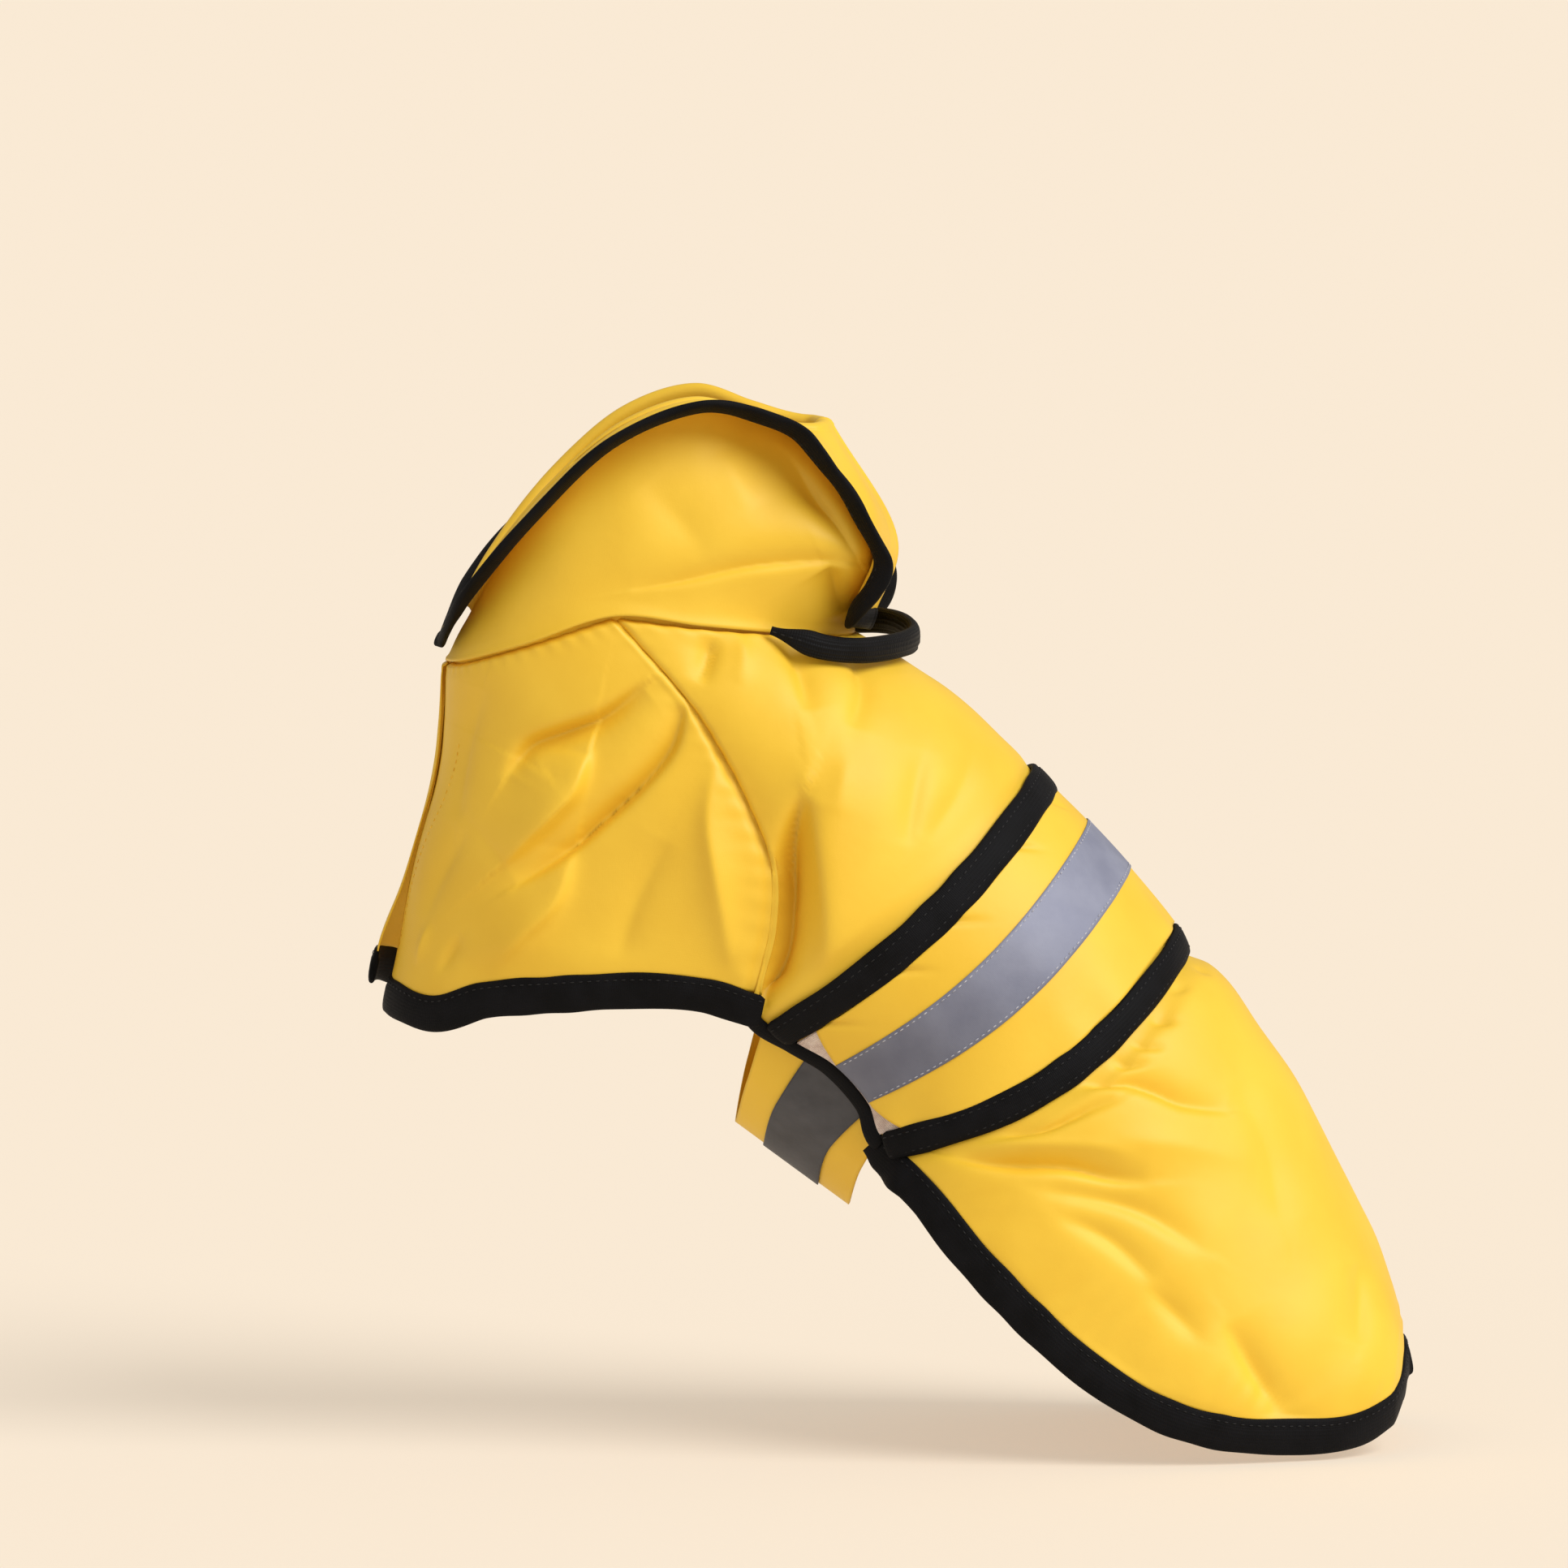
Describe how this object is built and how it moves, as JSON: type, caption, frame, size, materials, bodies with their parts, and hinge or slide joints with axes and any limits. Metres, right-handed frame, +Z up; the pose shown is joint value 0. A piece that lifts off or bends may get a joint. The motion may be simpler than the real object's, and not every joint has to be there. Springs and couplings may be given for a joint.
{
  "type": "dog raincoat",
  "caption": "Hooded cape-shaped raincoat for a small dog, in its worn shape, with a waist belt, a belly strap, dark bindings, reflective tape and a lead loop at the neck.",
  "frame": {"origin": "inner face of the back panel on the centre line over the withers, where the wearer's back holds the coat up", "axes": "+Z up; -X towards the chest, the way the wearer faces; +X towards the tail; -Y is the wearer's left side"},
  "size_m": [0.388, 0.1768, 0.3868],
  "materials": {
    "yellow_cloth": "smooth coated polyester with a soft sheen",
    "black_binding": "fine matt folded binding tape",
    "black_webbing": "rolled matt webbing",
    "reflective_tape": "satin grey reflective tape",
    "cream_patch": "napped"
  },
  "bodies": {
    "root": {"back_panel": "yellow_cloth", "front_left": "yellow_cloth", "front_right": "yellow_cloth", "front_hem_binding_left": "black_binding", "front_hem_binding_right": "black_binding", "side_binding_left": "black_binding", "side_binding_right": "black_binding", "skirt_binding": "black_binding", "belt_front_binding": "black_binding", "belt": "yellow_cloth", "belt_tape": "reflective_tape", "belt_rear_binding": "black_binding", "hook_patch_left": "cream_patch", "hook_patch_right": "cream_patch", "belly_strap": "yellow_cloth", "belly_tape": "reflective_tape", "hood_left": "yellow_cloth", "hood_right": "yellow_cloth", "hood_trim": "black_binding", "lead_loop": "black_webbing"}
  },
  "joints": []
}
